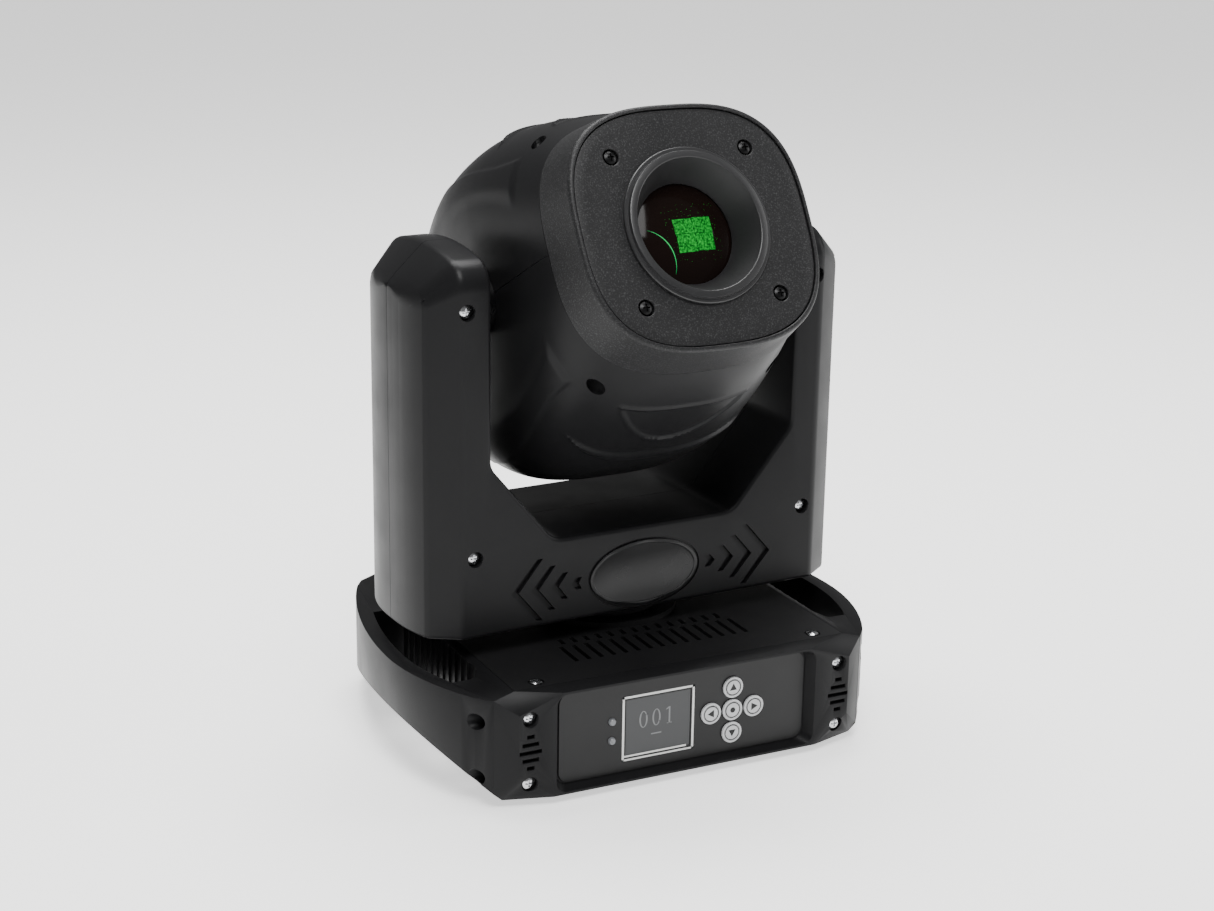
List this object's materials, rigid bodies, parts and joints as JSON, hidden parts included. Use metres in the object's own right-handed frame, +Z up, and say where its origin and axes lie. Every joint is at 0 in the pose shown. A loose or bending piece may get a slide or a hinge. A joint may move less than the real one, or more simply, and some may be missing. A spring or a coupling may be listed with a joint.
{
  "type": "moving head light",
  "caption": "Compact moving head spot light: low base with control panel and carrying grips, turning U-shaped yoke and tilting rounded head with a recessed lens",
  "frame": {"origin": "On the pan axis, at the underside of the base tray, in the middle of the four bracket bolt holes; the rubber feet reach 4.5 mm below it", "axes": "+Z up along the pan axis; the control panel faces -Y; +X is to the right seen from the front of the base. The yoke stands turned 2.5 degrees about +Z and the lens points forward and up"},
  "size_m": [0.27, 0.2365, 0.3466],
  "materials": {
    "case_black": "fine moulded grain",
    "face_black": "fine sparkling grain",
    "sheet_black": "flat powder coat",
    "zinc_steel": "zinc plated",
    "bright_steel": "bright plated",
    "black_steel": "black oxide",
    "alu": "bare",
    "black_alu": "black anodised",
    "bronze": "sintered bronze",
    "rubber": "moulded",
    "overlay": "printed film",
    "lcd": "display window",
    "silver_plastic": "silver lacquer",
    "lamp_clear": "diffused clear",
    "board_green": "solder mask",
    "socket_black": "glass filled",
    "motor_black": "motor case",
    "badge_black": "smooth",
    "lens_glass": "coated",
    "clear_glass": "polished",
    "emitter": "phosphor",
    "filter_glass": "dichroic disc"
  },
  "bodies": {
    "base": {"chassis_tray": "sheet_black", "base_cover": "sheet_black", "front_bezel": "case_black", "rear_panel": "case_black", "left_handle": "case_black", "right_handle": "case_black", "display_overlay": "overlay", "display_module": "lcd", "status_lamps": "lamp_clear", "control_board": "board_green", "power_supply": "board_green", "rubber_feet": "rubber", "mains_inlet": "socket_black", "dmx_input": "socket_black", "dmx_output": "socket_black", "base_screws": "bright_steel", "handle_screws": "black_steel", "pan_post": "sheet_black", "pan_pulley": "alu"},
    "button_up": {"button_up": "silver_plastic"},
    "button_down": {"button_down": "silver_plastic"},
    "button_left": {"button_left": "silver_plastic"},
    "button_right": {"button_right": "silver_plastic"},
    "button_ok": {"button_ok": "silver_plastic"},
    "yoke": {"yoke_front_shell": "case_black", "yoke_rear_shell": "case_black", "yoke_frame": "zinc_steel", "pan_bush": "bronze", "tilt_bushes": "bronze", "pan_motor": "motor_black", "tilt_motor": "motor_black", "pan_belt": "rubber", "tilt_belt": "rubber", "yoke_screws": "bright_steel", "yoke_badge": "badge_black", "driver_board": "board_green"},
    "pan_motor_pulley": {"pan_motor_pulley": "alu"},
    "tilt_motor_pulley": {"tilt_motor_pulley": "alu"},
    "head": {"head_upper_shell": "case_black", "head_lower_shell": "case_black", "head_band": "face_black", "face_plate": "face_black", "lens_collar": "black_alu", "front_lens": "lens_glass", "rear_cap": "case_black", "head_screws": "black_steel", "tilt_hubs": "zinc_steel", "tilt_pulley": "alu", "head_frame": "black_steel", "led_module": "emitter", "heatsink": "alu", "fan_housing": "socket_black", "condenser": "clear_glass", "effect_motors": "motor_black", "focus_rods": "zinc_steel"},
    "fan_rotor": {"fan_rotor": "socket_black"},
    "colour_wheel": {"colour_wheel": "filter_glass"},
    "gobo_wheel": {"gobo_wheel": "black_steel"},
    "focus_carriage": {"focus_carriage": "black_alu"}
  },
  "joints": [
    {"name": "pan", "type": "hinge", "parent": "base", "child": "yoke", "pos_m": [0, 0, 0.07], "axis": [0, 0, 1], "range_deg": [-270, 270]},
    {"name": "tilt", "type": "hinge", "parent": "yoke", "child": "head", "pos_m": [0, 0, 0.236], "axis": [0.999, 0.0436, 0], "range_deg": [-185.5, 64.5]},
    {"name": "pan_motor_spin", "type": "hinge", "parent": "yoke", "child": "pan_motor_pulley", "pos_m": [-0.06194, -0.0027, 0.1003], "axis": [0, 0, 1], "range_deg": [-900, 900]},
    {"name": "tilt_motor_spin", "type": "hinge", "parent": "yoke", "child": "tilt_motor_pulley", "pos_m": [0.1084, 0.00473, 0.0938], "axis": [0.999, 0.0436, 0], "range_deg": [-520, 190]},
    {"name": "fan_spin", "type": "hinge", "parent": "head", "child": "fan_rotor", "pos_m": [-0.00268, 0.0613, 0.20128], "axis": [0.038, -0.8695, 0.4924], "continuous": true},
    {"name": "colour_spin", "type": "hinge", "parent": "head", "child": "colour_wheel", "pos_m": [0.00101, -0.02323, 0.21928], "axis": [0.038, -0.8695, 0.4924], "continuous": true},
    {"name": "gobo_spin", "type": "hinge", "parent": "head", "child": "gobo_wheel", "pos_m": [0.00028, -0.00634, 0.26946], "axis": [0.038, -0.8695, 0.4924], "continuous": true},
    {"name": "focus_slide", "type": "slide", "parent": "head", "child": "focus_carriage", "axis": [0.038, -0.8695, 0.4924], "range_m": [-0.008, 0.008]},
    {"name": "press_up", "type": "slide", "parent": "base", "child": "button_up", "axis": [0, 1, 0], "range_m": [0, 0.0005], "stiffness_N_per_m": 400},
    {"name": "press_down", "type": "slide", "parent": "base", "child": "button_down", "axis": [0, 1, 0], "range_m": [0, 0.0005], "stiffness_N_per_m": 400},
    {"name": "press_left", "type": "slide", "parent": "base", "child": "button_left", "axis": [0, 1, 0], "range_m": [0, 0.0005], "stiffness_N_per_m": 400},
    {"name": "press_right", "type": "slide", "parent": "base", "child": "button_right", "axis": [0, 1, 0], "range_m": [0, 0.0005], "stiffness_N_per_m": 400},
    {"name": "press_ok", "type": "slide", "parent": "base", "child": "button_ok", "axis": [0, 1, 0], "range_m": [0, 0.0005], "stiffness_N_per_m": 400}
  ],
  "couplings": [
    {"joint": "pan_motor_spin", "follows": "pan", "ratio": -3.25},
    {"joint": "tilt_motor_spin", "follows": "tilt", "ratio": 2.75}
  ]
}
